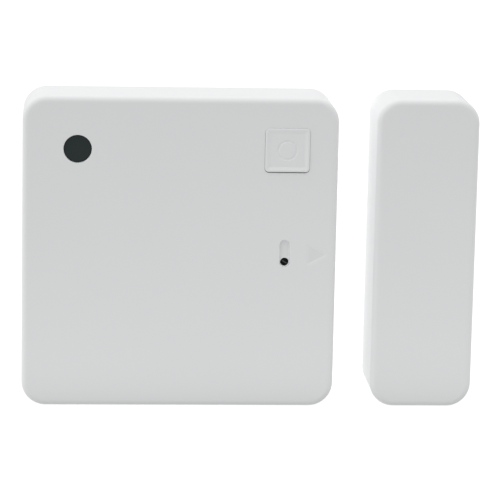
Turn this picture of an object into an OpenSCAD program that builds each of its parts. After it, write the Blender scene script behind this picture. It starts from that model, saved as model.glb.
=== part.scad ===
// Door contact sensor: a sensor unit and a magnet unit that stand side by side on a wall or frame.
// Every module draws its piece lying on its back: X right, Y up, Z out of the wall.
// upright() then stands it up, so that X is right, Z is up and the fronts face -Y.
// The origin is the centre of the sensor unit's rear mounting face, on the wall.

/* [Housings] */
// Width and height of the sensor unit
unit_size = 65; // [64:0.5:68]
// Width of the magnet unit
magnet_unit_w = 21.25; // [20:0.25:26]
// Gap between the two units with the door shut
unit_gap = 7.9; // [3:0.1:15]
// Depth of both housings, without the adhesive pad
housing_depth = 16; // [16:0.5:20]
// Radius of the upright outline corners
corner_r = 5; // [4:0.5:7]
// Radius of the rounded front edge
edge_r = 1.2; // [0.5:0.1:1.6]
// Wall thickness of the covers
wall = 1.8; // [1.5:0.1:1.9]
// Floor thickness of the base plates
floor_t = 2; // [1.6:0.1:2.2]
// Thickness of the adhesive pads
pad_t = 0.8; // [0.4:0.1:1.2]

/* [Front details] */
// Diameter of the dark round window
window_d = 5.8; // [4:0.1:7]
// Width of the square push button's opening
button_opening = 9.3; // [8.5:0.1:10]
// Travel of the push button
button_travel = 0.35; // [0.2:0.05:0.4]
// Width of the capsule-shaped recess beside the alignment mark
recess_w = 2.15; // [2:0.05:2.6]
// Length of the capsule-shaped recess
recess_l = 5.72; // [4.5:0.1:7]

/* [Mounting] */
// Diameter of the holes for countersunk fixing screws
screw_hole_d = 3.5; // [3:0.1:4]
// Distance between the sensor unit's screw holes
sensor_hole_spacing = 38; // [36:1:40]
// Distance between the magnet unit's screw holes
magnet_hole_spacing = 44; // [42:1:48]

/* [Batteries] */
// Diameter of each cell
cell_d = 10.5; // [9.8:0.1:10.5]
// Length of each cell with its button end
cell_l = 44.5; // [43.5:0.1:44.5]

/* [Hidden] */
$fn = 64;
eps = 0.01;

// Levels out of the wall
base_top = pad_t + floor_t;
front_z = pad_t + housing_depth;
inner_z = front_z - wall;
rim_top = base_top + 4;

// Cover and base outlines
fit_gap = 0.3;
cavity_r = corner_r - wall;
base_size = unit_size - 2 * (wall + fit_gap);
base_r = cavity_r - fit_gap;
rim_t = 1.2;
catch_l = 8;
catch_r = 0.6;
catch_proud = 0.15;
pry_h = 1;

// Window, button, recess and alignment mark, measured from the unit's centre
window_at = [-21.2, 21.65];
window_sunk = 0.5;
lens_flange_r = window_d / 2 + 1.3;
lens_flange_t = 0.8;
button_at = [21.9, 21.7];
button_gap = 0.08;
button_gap_high = 0.05;
button_gap_low = 0.22;
button_r = 0.9;
button_proud = 0.35;
button_edge_r = 0.4;
panel_size = 7.1;
panel_depth = 0.3;
mark_r = 1.9;
mark_w = 0.45;
mark_depth = 0.15;
flange_over = 0.85;
flange_t = 0.9;
guide_t = 0.8;
guide_l = 2.4;
recess_at = [21.78, 0.11];
recess_depth = 0.8;
pipe_r = 0.88;
pipe_at = [recess_at.x + 0.04, recess_at.y - (recess_l - recess_w) / 2 - 0.1];
arrow_at = [26.67, 0.06];
arrow_half = 2.15;
arrow_l = 4.1;
arrow_depth = 0.15;

// Circuit board: a wide upper part and a tongue down the right side
board_t = 1;
board_under = base_top + 3.8;
board_top = board_under + board_t;
board_half = base_size / 2 - rim_t - 0.4;
board_r = 2;
board_low_y = -4.6;
tongue_x = 23.4;
tongue_low_y = -22.4;
board_screw_at = [[26.1, -15.5], [-26.2, -2]];
board_peg_at = [[-26.2, 26.2], [11.5, 26.2]];
post_r = 2.2;
peg_r = 0.9;
board_screw_r = 0.95;
driver_hole_r = 4;

// Battery bay
cell_r = cell_d / 2;
cell_z = base_top + 0.5 + cell_r;
cell_y = [-11.3, -22.5];
spring_l = 3.6;
dimple_l = 1.1;
plate_t = 0.4;
bay_l = cell_l + spring_l + dimple_l + 2 * plate_t;
bay_x = -base_size / 2 + rim_t + 1;
bay_wall = 1;
bay_top = base_top + 8.2;
bay_low_y = -28.6;
bay_high_y = -5.6;
plate_half = 4;
plate_low = base_top + 1.4;

// Switches and sensors on the board
switch_size = 6;
switch_h = 3.4;
tact_plunger_r = 1.7;
tact_plunger_top = board_top + 5;
tamper_at = [-10.5, 24.2];
tamper_shaft_r = 1.2;
tamper_cap_r = 2.3;
tamper_cap_t = 0.6;
tamper_cap_z = board_top + 5.4;
reed_at = [26.6, 0.14];
reed_z = board_top + 1.5;
reed_r = 1.1;
reed_l = 10;
reed_wire_r = 0.25;
led_h = 0.9;

// Magnet unit
magnet_x = unit_size / 2 + unit_gap + magnet_unit_w / 2;
magnet_base_w = magnet_unit_w - 2 * (wall + fit_gap);
bar_w = 6;
bar_l = 25;
bar_t = 5;
bar_x = magnet_x - 2.6;

white = [0.93, 0.93, 0.92];
off_white = [0.88, 0.88, 0.86];

// ---------- shared shapes ----------

module upright() {
    rotate([90, 0, 0]) children();
}

// A flat rectangle with round corners
module round_rect(w, h, r) {
    square([w - 2 * r, h], center = true);
    square([w, h - 2 * r], center = true);
    for (x = [-1, 1], y = [-1, 1])
        translate([x * (w / 2 - r), y * (h / 2 - r)]) circle(r);
}

// The section of a bar of width w whose two upper edges are rounded
module bar_section(w, h, e) {
    translate([-w / 2, 0]) square([w, h - e]);
    translate([-w / 2 + e, 0]) square([w - 2 * e, h]);
    for (x = [-1, 1]) translate([x * (w / 2 - e), h - e]) circle(e);
}

// A block with round upright corners of radius r and a round upper edge of radius e
module soft_block(w, l, h, r, e) {
    rotate([90, 0, 0]) linear_extrude(l - 2 * r, center = true) bar_section(w, h, e);
    rotate([90, 0, 90]) linear_extrude(w - 2 * r, center = true) bar_section(l, h, e);
    for (x = [-1, 1], y = [-1, 1])
        translate([x * (w / 2 - r), y * (l / 2 - r), 0])
            rotate_extrude() {
                square([r, h - e]);
                square([r - e, h]);
                translate([r - e, h - e]) intersection() {
                    circle(e);
                    square(e);
                }
            }
}

// A box on level z with its centre at [x, y]
module slab(at, size, z) {
    translate([at.x - size.x / 2, at.y - size.y / 2, z]) cube(size);
}

module disc(at, r, z0, z1) {
    translate([at.x, at.y, z0]) cylinder(r = r, h = z1 - z0);
}

// The outer skin and hollow of a clip-on cover, open at the back
module cover_shell(w, l, pry_w) {
    difference() {
        translate([0, 0, pad_t]) soft_block(w, l, housing_depth, corner_r, edge_r);
        translate([0, 0, pad_t - eps])
            linear_extrude(housing_depth - wall + eps)
                round_rect(w - 2 * wall, l - 2 * wall, cavity_r);
        // pry slot for a coin or screwdriver in the bottom edge
        translate([-pry_w / 2, -l / 2 - eps, pad_t - eps]) cube([pry_w, wall + 2 * eps, pry_h]);
    }
}

// A base plate with an upstanding rim that the cover slides over
module base_tray(w, l) {
    translate([0, 0, pad_t]) linear_extrude(floor_t) round_rect(w, l, base_r);
    translate([0, 0, pad_t]) linear_extrude(rim_top - pad_t) difference() {
        round_rect(w, l, base_r);
        round_rect(w - 2 * rim_t, l - 2 * rim_t, base_r - rim_t);
    }
}

// Catch ribs on the rim that grip the cover; each is part of a round bar along X
module catches(l, spots) {
    for (x = spots, side = [-1, 1])
        translate([x, side * (l / 2 + catch_proud - catch_r), rim_top - 1.2])
            rotate([0, 90, 0]) cylinder(r = catch_r, h = catch_l, center = true);
}

// Countersunk screw holes at equal distances above and below the centre
module screw_holes(spacing) {
    hole_r = screw_hole_d / 2;
    for (side = [-1, 1]) translate([0, side * spacing / 2, 0]) {
        translate([0, 0, pad_t - eps]) cylinder(r = hole_r, h = floor_t);
        translate([0, 0, base_top - 1.1]) cylinder(r1 = hole_r, r2 = hole_r + 1.15, h = 1.15);
    }
}

// A coil along Z as one swept tube: radius ra at the bottom, rb at the top
function coil_ring(t, turns, ra, rb, h, wire, sides) =
    let(a = 360 * turns * t, r = ra + (rb - ra) * t, z = h * t)
    [for (k = [0:sides - 1]) let(b = 360 * k / sides, q = r + wire * cos(b))
        [q * cos(a), q * sin(a), z + wire * sin(b)]];

module coil(turns, ra, rb, h, wire, sides = 8) {
    rings = ceil(turns * 20);
    points = [for (i = [0:rings]) each coil_ring(i / rings, turns, ra, rb, h, wire, sides)];
    skin = [for (i = [0:rings - 1], k = [0:sides - 1])
        [i * sides + k, (i + 1) * sides + k,
         (i + 1) * sides + (k + 1) % sides, i * sides + (k + 1) % sides]];
    first = [for (k = [0:sides - 1]) k];
    last = [for (k = [sides - 1:-1:0]) rings * sides + k];
    polyhedron(points, concat(skin, [first, last]), convexity = 6);
}

// ---------- sensor unit: cover ----------

module front_cover() {
    guide_in = button_opening + 2 * flange_over + 0.4;
    color(white) upright() difference() {
        union() {
            cover_shell(unit_size, unit_size, 12);
            // ring that centres the window's flange
            translate([window_at.x, window_at.y, inner_z - 1.4]) difference() {
                cylinder(r = lens_flange_r + 1.2, h = 1.4 + eps);
                translate([0, 0, -eps]) cylinder(r = lens_flange_r + 0.1, h = 1.4 + eps);
            }
            // square sleeve that guides the button
            translate([button_at.x, button_at.y, inner_z - guide_l])
                linear_extrude(guide_l + eps) difference() {
                    square(guide_in + 2 * guide_t, center = true);
                    square(guide_in, center = true);
                }
            // boss around the light pipe
            disc(pipe_at, 2.6, inner_z - 1.6, inner_z + eps);
            // post that holds the tamper switch down
            disc(tamper_at, 1.6, tamper_cap_z + tamper_cap_t + 0.05, inner_z + eps);
        }
        disc(window_at, window_d / 2, inner_z - eps, front_z + eps);
        translate([button_at.x, button_at.y, inner_z - eps])
            linear_extrude(wall + 2 * eps) round_rect(button_opening, button_opening, button_r + 0.15);
        translate([recess_at.x, recess_at.y, front_z - recess_depth])
            linear_extrude(recess_depth + eps) {
                square([recess_w, recess_l - recess_w], center = true);
                for (side = [-1, 1])
                    translate([0, side * (recess_l - recess_w) / 2]) circle(recess_w / 2);
            }
        disc(pipe_at, pipe_r, inner_z - 2, front_z);
        disc(pipe_at, 1.6, inner_z - 2, inner_z);
        translate([arrow_at.x, arrow_at.y, front_z - arrow_depth])
            linear_extrude(arrow_depth + eps)
                polygon([[0, -arrow_half], [arrow_l, 0], [0, arrow_half]]);
    }
}

module sensor_window() {
    color([0.12, 0.13, 0.13]) upright() {
        disc(window_at, window_d / 2 - 0.05, inner_z - eps, front_z - window_sunk);
        disc(window_at, lens_flange_r, inner_z - lens_flange_t, inner_z);
    }
}

module indicator_light_pipe() {
    color([0.08, 0.08, 0.08]) upright() {
        disc(pipe_at, pipe_r - 0.04, inner_z - eps, front_z - recess_depth - 0.1);
        disc(pipe_at, 1.5, board_top + led_h + 0.4, inner_z);
    }
}

module push_button() {
    cap_w = button_opening - 2 * button_gap;
    cap_l = button_opening - button_gap_high - button_gap_low;
    cap_y = button_at.y + (button_gap_low - button_gap_high) / 2;
    flange = button_opening + 2 * flange_over;
    cap_z = inner_z - 0.05;
    color(white) upright() translate([button_at.x, cap_y, 0]) {
        difference() {
            translate([0, 0, cap_z - eps])
                soft_block(cap_w, cap_l, front_z + button_proud - cap_z + eps, button_r, button_edge_r);
            translate([0, 0, front_z + button_proud - panel_depth])
                linear_extrude(panel_depth + eps) round_rect(panel_size, panel_size, 0.5);
            // plain ring mark pressed into the panel
            translate([0, 0, front_z + button_proud - panel_depth - mark_depth])
                linear_extrude(panel_depth) difference() {
                    circle(mark_r + mark_w / 2);
                    circle(mark_r - mark_w / 2);
                }
        }
        translate([-flange / 2, -flange / 2, cap_z - flange_t]) cube([flange, flange, flange_t]);
        translate([0, 0, tact_plunger_top + 0.05])
            cylinder(r = 1.5, h = cap_z - flange_t - tact_plunger_top);
    }
}

// ---------- sensor unit: base and mounting ----------

// A saddle rib across both cells
module saddle(x) {
    difference() {
        translate([x - 0.6, bay_low_y - 0.8, base_top - eps])
            cube([1.2, bay_high_y - bay_low_y + 1, 4.4]);
        for (y = cell_y) translate([x, y, cell_z]) rotate([0, 90, 0])
            cylinder(r = cell_r + 0.1, h = 3, center = true);
    }
}

module base_plate() {
    right = bay_x + bay_l;
    color(off_white) upright() difference() {
        union() {
            base_tray(base_size, base_size);
            catches(base_size, [-18, 18]);
            // end walls and top wall of the battery bay
            for (x = [bay_x - bay_wall, right])
                translate([x, bay_low_y - 0.8, base_top - eps])
                    cube([bay_wall, bay_high_y - bay_low_y + 1.6, bay_top - base_top]);
            translate([bay_x - bay_wall, bay_high_y, base_top - eps])
                cube([right - bay_x + bay_wall, 0.8, 3.6]);
            for (x = [bay_x + 12, right - 12]) saddle(x);
            // posts under the circuit board
            for (p = concat(board_screw_at, board_peg_at))
                disc(p, post_r, base_top - eps, board_under);
            for (p = board_peg_at) disc(p, peg_r, base_top, board_top + 0.8);
        }
        for (p = board_screw_at) disc(p, board_screw_r, base_top + 0.4, board_under + eps);
        screw_holes(sensor_hole_spacing);
    }
}

module adhesive_pad() {
    color([0.80, 0.81, 0.80]) upright() linear_extrude(pad_t) round_rect(50, 26, 3);
}

// ---------- sensor unit: electronics ----------

module circuit_board() {
    color([0.10, 0.36, 0.20]) upright() difference() {
        translate([0, 0, board_under]) linear_extrude(board_t) {
            translate([0, (board_half + board_low_y) / 2])
                round_rect(2 * board_half, board_half - board_low_y, board_r);
            translate([(board_half + tongue_x) / 2, tongue_low_y / 2])
                round_rect(board_half - tongue_x, -tongue_low_y, board_r);
        }
        for (p = board_screw_at) disc(p, board_screw_r + 0.15, board_under - eps, board_top + eps);
        for (p = board_peg_at) disc(p, peg_r + 0.1, board_under - eps, board_top + eps);
        disc([0, sensor_hole_spacing / 2], driver_hole_r, board_under - eps, board_top + eps);
    }
}

module board_screws() {
    color([0.70, 0.71, 0.72]) upright() for (p = board_screw_at) difference() {
        union() {
            disc(p, board_screw_r - 0.03, base_top + 0.9, board_top + eps);
            disc(p, 1.75, board_top, board_top + 1.1);
        }
        for (turn = [0, 90]) translate([p.x, p.y, board_top + 0.6]) rotate([0, 0, turn])
            translate([-1.1, -0.2, 0]) cube([2.2, 0.4, 1]);
    }
}

module radio_module() {
    color([0.07, 0.22, 0.36]) upright() slab([-18.4, 6.6], [18, 13, 0.8], board_top);
    color([0.85, 0.82, 0.74]) upright() slab([-11.2, 6.6], [1.6, 6.4, 0.6], board_top + 0.8 - eps);
}

module radio_shield() {
    color([0.75, 0.76, 0.77]) upright() slab([-19.9, 6.6], [12.6, 10.6, 2.1], board_top + 0.8);
}

module main_chip() {
    color([0.10, 0.10, 0.11]) upright() {
        slab([7.2, 5.4], [7, 7, 0.9], board_top + 0.1);
        for (i = [-5:5], side = [-1, 1]) {
            slab([7.2 + i * 0.5, 5.4 + side * 3.7], [0.22, 0.8, 0.25], board_top);
            slab([7.2 + side * 3.7, 5.4 + i * 0.5], [0.8, 0.22, 0.25], board_top);
        }
    }
}

module crystal() {
    color([0.78, 0.79, 0.80]) upright() translate([7.2, 12.6, board_top])
        linear_extrude(2.4) round_rect(8, 3.2, 1.5);
}

module smoothing_capacitor() {
    at = [15.2, 11.6];
    color([0.20, 0.22, 0.30]) upright() {
        disc(at, 2.5, board_top + 0.4, board_top + 5.2);
        slab(at, [5.4, 5.4, 0.4 + eps], board_top);
    }
}

// Rows of small surface-mount resistors and capacitors
module small_components() {
    color([0.62, 0.54, 0.42]) upright() {
        for (i = [0:5]) slab([-4.5 + i * 2.1, -1.6], [1.1, 2, 0.7], board_top);
        for (i = [0:3]) slab([-3.2, 3 + i * 2.2], [2, 1.1, 0.6], board_top);
        for (i = [0:2]) slab([14.6 + i * 2.2, 2.4], [1.2, 2, 0.8], board_top);
        for (i = [0:2]) slab([14.6, 17.6 + i * 2.2], [2, 1.1, 0.6], board_top);
        slab([16.6, 6.9], [3, 1.6, 1.1], board_top);
    }
}

// A square tactile switch with a round well in its top
module switch_body(at, well_r, well_floor) {
    difference() {
        slab(at, [switch_size, switch_size, switch_h], board_top);
        disc(at, well_r, well_floor, board_top + switch_h + eps);
    }
    for (x = [-1, 1], y = [-1, 1])
        disc([at.x + x * 2.2, at.y + y * 2.2], 0.45, board_top + switch_h - eps, board_top + switch_h + 0.2);
}

module tact_switch_body() {
    color([0.12, 0.12, 0.13]) upright()
        switch_body(button_at, tact_plunger_r + 0.1, tact_plunger_top - 2.6);
}

module tact_switch_plunger() {
    color([0.85, 0.85, 0.84]) upright()
        disc(button_at, tact_plunger_r, tact_plunger_top - 2.1, tact_plunger_top);
}

module tamper_switch_body() {
    color([0.12, 0.12, 0.13]) upright()
        switch_body(tamper_at, tamper_shaft_r + 0.1, board_top + 0.6);
}

module tamper_switch_plunger() {
    color([0.80, 0.30, 0.18]) upright() {
        disc(tamper_at, tamper_shaft_r, board_top + 1.2, tamper_cap_z + eps);
        disc(tamper_at, tamper_cap_r, tamper_cap_z, tamper_cap_z + tamper_cap_t);
    }
}

module tamper_spring() {
    wire = 0.2;
    low = board_top + switch_h + 0.25 + wire;
    color([0.78, 0.79, 0.80]) upright() translate([tamper_at.x, tamper_at.y, low])
        coil(3, 1.6, 1.6, tamper_cap_z - low - wire - 0.05, wire);
}

// Glass tube of the reed switch, sealed round its wires
module reed_glass() {
    color([0.70, 0.86, 0.78]) upright() translate([reed_at.x, reed_at.y, reed_z])
        rotate([90, 0, 0]) difference() {
            union() {
                cylinder(r = reed_r, h = reed_l - 2 * reed_r, center = true);
                for (side = [-1, 1]) translate([0, 0, side * (reed_l / 2 - reed_r)]) sphere(reed_r);
            }
            cylinder(r = reed_r - 0.3, h = reed_l - 3, center = true);
            cylinder(r = reed_wire_r, h = reed_l + 1, center = true);
        }
}

// Two reed blades: each is a flattened wire that overlaps the other in the tube's middle
module reed_blades() {
    blade_t = 0.16;
    wire_end = reed_l / 2 + 2.2;
    color([0.72, 0.70, 0.64]) upright() for (side = [-1, 1])
        translate([reed_at.x, reed_at.y, reed_z]) {
            // wire through the seal and down into the board
            translate([0, side * (wire_end + 3) / 2, 0]) rotate([90, 0, 0])
                cylinder(r = reed_wire_r, h = wire_end - 3, center = true);
            translate([0, side * (wire_end - reed_wire_r), -(reed_z - board_top)])
                cylinder(r = reed_wire_r, h = reed_z - board_top);
            // flat blade
            translate([-0.45, side > 0 ? -0.8 : -3.2, side * 0.13 - blade_t / 2])
                cube([0.9, 4, blade_t]);
        }
}

module status_led() {
    color([0.92, 0.92, 0.86]) upright() {
        slab(pipe_at, [3, 1.5, 0.5], board_top);
        disc(pipe_at, 0.65, board_top + 0.5 - eps, board_top + led_h);
    }
}

module light_sensor() {
    color([0.14, 0.14, 0.16]) upright() {
        slab(window_at, [4, 3.2, 1.1], board_top);
        disc(window_at, 1.2, board_top + 1.1 - eps, board_top + 1.6);
    }
}

// ---------- sensor unit: batteries ----------

// A round cell along X; sign is +1 when its button end points right
module battery_cell(y, sign) {
    start = sign > 0 ? plate_t + spring_l : plate_t + dimple_l + 1;
    can_l = cell_l - 1;
    translate([bay_x + start + can_l / 2, y, cell_z]) rotate([0, sign * 90, 0]) {
        cylinder(r = cell_r, h = can_l, center = true);
        translate([0, 0, can_l / 2 - eps]) cylinder(r = 1.9, h = 1 + eps);
    }
}

module battery_cell_upper() {
    color([0.16, 0.17, 0.18]) upright() battery_cell(cell_y[0], 1);
}

module battery_cell_lower() {
    color([0.16, 0.17, 0.18]) upright() battery_cell(cell_y[1], -1);
}

// A contact dimple, pointing along +X from the plate
module dimple(x, y, sign) {
    translate([x, y, cell_z]) rotate([0, sign * 90, 0]) cylinder(r1 = 2, r2 = 1.2, h = dimple_l);
}

module battery_springs() {
    wire = 0.3;
    length = spring_l - 2 * wire;
    right = bay_x + bay_l - plate_t;
    color([0.80, 0.80, 0.81]) upright() {
        translate([bay_x + plate_t + wire, cell_y[0], cell_z]) rotate([0, 90, 0])
            coil(3.5, 3.1, 2, length, wire);
        translate([right - wire, cell_y[1], cell_z]) rotate([0, -90, 0])
            coil(3.5, 3.1, 2, length, wire);
    }
}

module battery_link_plate() {
    span = cell_y[0] - cell_y[1] + 2 * plate_half;
    color([0.80, 0.80, 0.81]) upright() {
        translate([bay_x, cell_y[1] - plate_half, plate_low])
            cube([plate_t, span, bay_top - plate_low]);
        dimple(bay_x + plate_t - eps, cell_y[1], 1);
    }
}

// Two terminals that hook over the bay's wall and stand on the board's tongue
module battery_terminals() {
    right = bay_x + bay_l;
    foot_x = tongue_x + 0.4;
    color([0.80, 0.80, 0.81]) upright() {
        for (y = cell_y) {
            translate([right - plate_t, y - plate_half, plate_low])
                cube([plate_t, 2 * plate_half, bay_top - plate_low]);
            translate([right - plate_t, y + 1, bay_top - eps])
                cube([foot_x - right + 2 * plate_t, 2, plate_t + eps]);
            translate([foot_x, y + 1, board_top])
                cube([plate_t, 2, bay_top - board_top + plate_t]);
        }
        dimple(right - plate_t + eps, cell_y[0], -1);
    }
}

// ---------- magnet unit ----------

module magnet_cover() {
    color(white) upright() translate([magnet_x, 0, 0]) cover_shell(magnet_unit_w, unit_size, 8);
}

module magnet_base() {
    cradle_h = 4.6;
    color(off_white) upright() difference() {
        union() {
            translate([magnet_x, 0, 0]) {
                base_tray(magnet_base_w, base_size);
                catches(base_size, [0]);
            }
            // cradle that grips the bar magnet
            slab([bar_x, 0], [bar_w + 2.2, bar_l + 2.2, cradle_h], base_top - eps);
        }
        slab([bar_x, 0], [bar_w + 0.1, bar_l + 0.1, cradle_h + 1], base_top + 0.6);
        slab([bar_x, 0], [bar_w + 4, bar_l - 10, cradle_h], base_top + 2.6);
        translate([magnet_x, 0, 0]) screw_holes(magnet_hole_spacing);
    }
}

module bar_magnet() {
    color([0.55, 0.56, 0.58]) upright() slab([bar_x, 0], [bar_w, bar_l, bar_t], base_top + 0.6);
}

module magnet_adhesive_pad() {
    color([0.80, 0.81, 0.80]) upright() translate([magnet_x, 0, 0])
        linear_extrude(pad_t) round_rect(13, 32, 3);
}

front_cover();
sensor_window();
indicator_light_pipe();
push_button();
base_plate();
adhesive_pad();
circuit_board();
board_screws();
radio_module();
radio_shield();
main_chip();
crystal();
smoothing_capacitor();
small_components();
tact_switch_body();
tact_switch_plunger();
tamper_switch_body();
tamper_switch_plunger();
tamper_spring();
reed_glass();
reed_blades();
status_led();
light_sensor();
battery_cell_upper();
battery_cell_lower();
battery_springs();
battery_link_plate();
battery_terminals();
magnet_cover();
magnet_base();
bar_magnet();
magnet_adhesive_pad();
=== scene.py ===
"""Door contact sensor: a square sensor unit and a slim magnet unit, upright, fronts facing -Y."""
import math

import bmesh
import bpy
from mathutils import Matrix, Vector
from mathutils.geometry import tessellate_polygon


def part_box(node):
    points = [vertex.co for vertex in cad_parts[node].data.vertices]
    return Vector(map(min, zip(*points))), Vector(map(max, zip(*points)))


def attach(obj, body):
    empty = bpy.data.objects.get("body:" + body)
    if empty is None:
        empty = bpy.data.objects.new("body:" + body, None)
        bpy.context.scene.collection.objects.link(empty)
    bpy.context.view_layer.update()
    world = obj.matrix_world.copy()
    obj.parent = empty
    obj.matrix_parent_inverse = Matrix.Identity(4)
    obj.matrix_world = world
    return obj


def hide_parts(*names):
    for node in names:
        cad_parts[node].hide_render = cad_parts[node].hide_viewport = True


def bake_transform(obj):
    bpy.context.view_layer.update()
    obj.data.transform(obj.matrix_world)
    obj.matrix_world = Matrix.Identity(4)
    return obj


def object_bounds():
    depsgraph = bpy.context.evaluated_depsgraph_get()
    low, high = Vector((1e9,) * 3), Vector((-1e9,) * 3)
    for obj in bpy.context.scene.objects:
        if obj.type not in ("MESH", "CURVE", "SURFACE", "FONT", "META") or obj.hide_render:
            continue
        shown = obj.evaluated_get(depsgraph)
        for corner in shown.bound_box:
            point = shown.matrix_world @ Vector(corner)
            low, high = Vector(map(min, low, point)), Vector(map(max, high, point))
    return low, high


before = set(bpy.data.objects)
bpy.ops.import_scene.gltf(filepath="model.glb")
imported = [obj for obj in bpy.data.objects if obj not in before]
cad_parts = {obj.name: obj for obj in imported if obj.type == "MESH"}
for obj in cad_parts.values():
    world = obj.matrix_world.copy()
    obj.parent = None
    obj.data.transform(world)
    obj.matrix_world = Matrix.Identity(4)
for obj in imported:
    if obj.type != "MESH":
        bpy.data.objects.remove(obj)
cad_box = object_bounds()

MM = 0.001
SUPPORT = 0.05 * MM  # the most that a support point stands off its round corner

# ---------- places, read from the frame ----------


def centre(node):
    """The middle of a CAD node's box."""
    low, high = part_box(node)
    return (low + high) / 2


def half_size(node):
    low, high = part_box(node)
    return (high - low) / 2


# "out" is the distance out of the wall, which is -Y
FRONT = -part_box("front_cover")[0].y
BACK = -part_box("front_cover")[1].y
WALL = 1.8 * MM
INNER = FRONT - WALL
CORNER = 5.0 * MM
FLOOR_Z = cad_box[0][2] - 0.05 * MM
BOARD_TOP = -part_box("circuit_board")[0].y

# ---------- mesh building: outlines, paths and skins ----------


class Outline:
    """A convex outline in the XZ plane: arcs of one radius about corner centres.
    The centres run anticlockwise, seen from the front."""

    def __init__(self, corners, radius, steps=48):
        self.radius = radius
        self.spots = []
        if len(corners) == 1:
            self.spots = [(corners[0], 2 * math.pi * (i + 0.5) / steps) for i in range(steps)]
            return
        for i, corner in enumerate(corners):
            start = self.facing(corners[i - 1], corner)
            sweep = (self.facing(corner, corners[(i + 1) % len(corners)]) - start) % (2 * math.pi)
            count = max(2, round(steps * sweep / (2 * math.pi)) - 1)
            self.spots += [(corner, start + sweep * k / count) for k in range(count + 1)]

    @staticmethod
    def facing(a, b):
        """The direction out of the edge from a to b."""
        return math.atan2(a[0] - b[0], b[1] - a[1])

    def ring(self, grow, out):
        reach = self.radius + grow
        return [Vector((c[0] + reach * math.cos(a), -out, c[1] + reach * math.sin(a))) for c, a in self.spots]


class Rectangle:
    """A rectangle with round corners, whose corners stay round however far it shrinks."""

    LEAST_RADIUS = 0.12 * MM

    def __init__(self, middle, half_w, half_h, radius, steps=48):
        self.middle, self.half_w, self.half_h, self.radius, self.steps = middle, half_w, half_h, radius, steps

    def ring(self, grow, out):
        half_w, half_h = self.half_w + grow, self.half_h + grow
        radius = min(max(self.LEAST_RADIUS, self.radius + grow), 0.9 * half_w, 0.9 * half_h)
        w, h = half_w - radius, half_h - radius
        corners = [(self.middle.x + x, self.middle.z + z) for x, z in [(w, h), (-w, h), (-w, -h), (w, -h)]]
        return Outline(corners, radius, self.steps).ring(0, out)


def circle(middle, radius, steps=48):
    return Outline([(middle.x, middle.z)], radius, steps)


def rounded(path, steps):
    """Points along a path of (grow, out, radius) corners.
    Each round corner has a support point on both sides, which keeps the flats beside it flat. A radius of
    0 is a sharp corner, and a radius of None only gives the path's first or last direction."""
    spots = [Vector(p[:2]) for p in path]
    points = []
    for i, (grow, out, radius) in enumerate(path):
        if not radius:
            if radius is not None:
                points.append((grow, out))
            continue
        before = (spots[i] - spots[i - 1]).normalized()
        after = (spots[i + 1] - spots[i]).normalized()
        side = math.copysign(1, before.cross(after))
        turn = before.angle(after)
        start = spots[i] - before * radius * math.tan(turn / 2)
        end = spots[i] + after * radius * math.tan(turn / 2)
        middle = start + Vector((-before.y, before.x)) * radius * side
        support = min(SUPPORT, 0.25 * radius)
        points.append(tuple(start - before * support))
        for k in range(steps + 1):
            angle = side * turn * k / steps
            arm = start - middle
            points.append((middle.x + arm.x * math.cos(angle) - arm.y * math.sin(angle),
                           middle.y + arm.x * math.sin(angle) + arm.y * math.cos(angle)))
        points.append(tuple(end + after * support))
    return points


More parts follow.
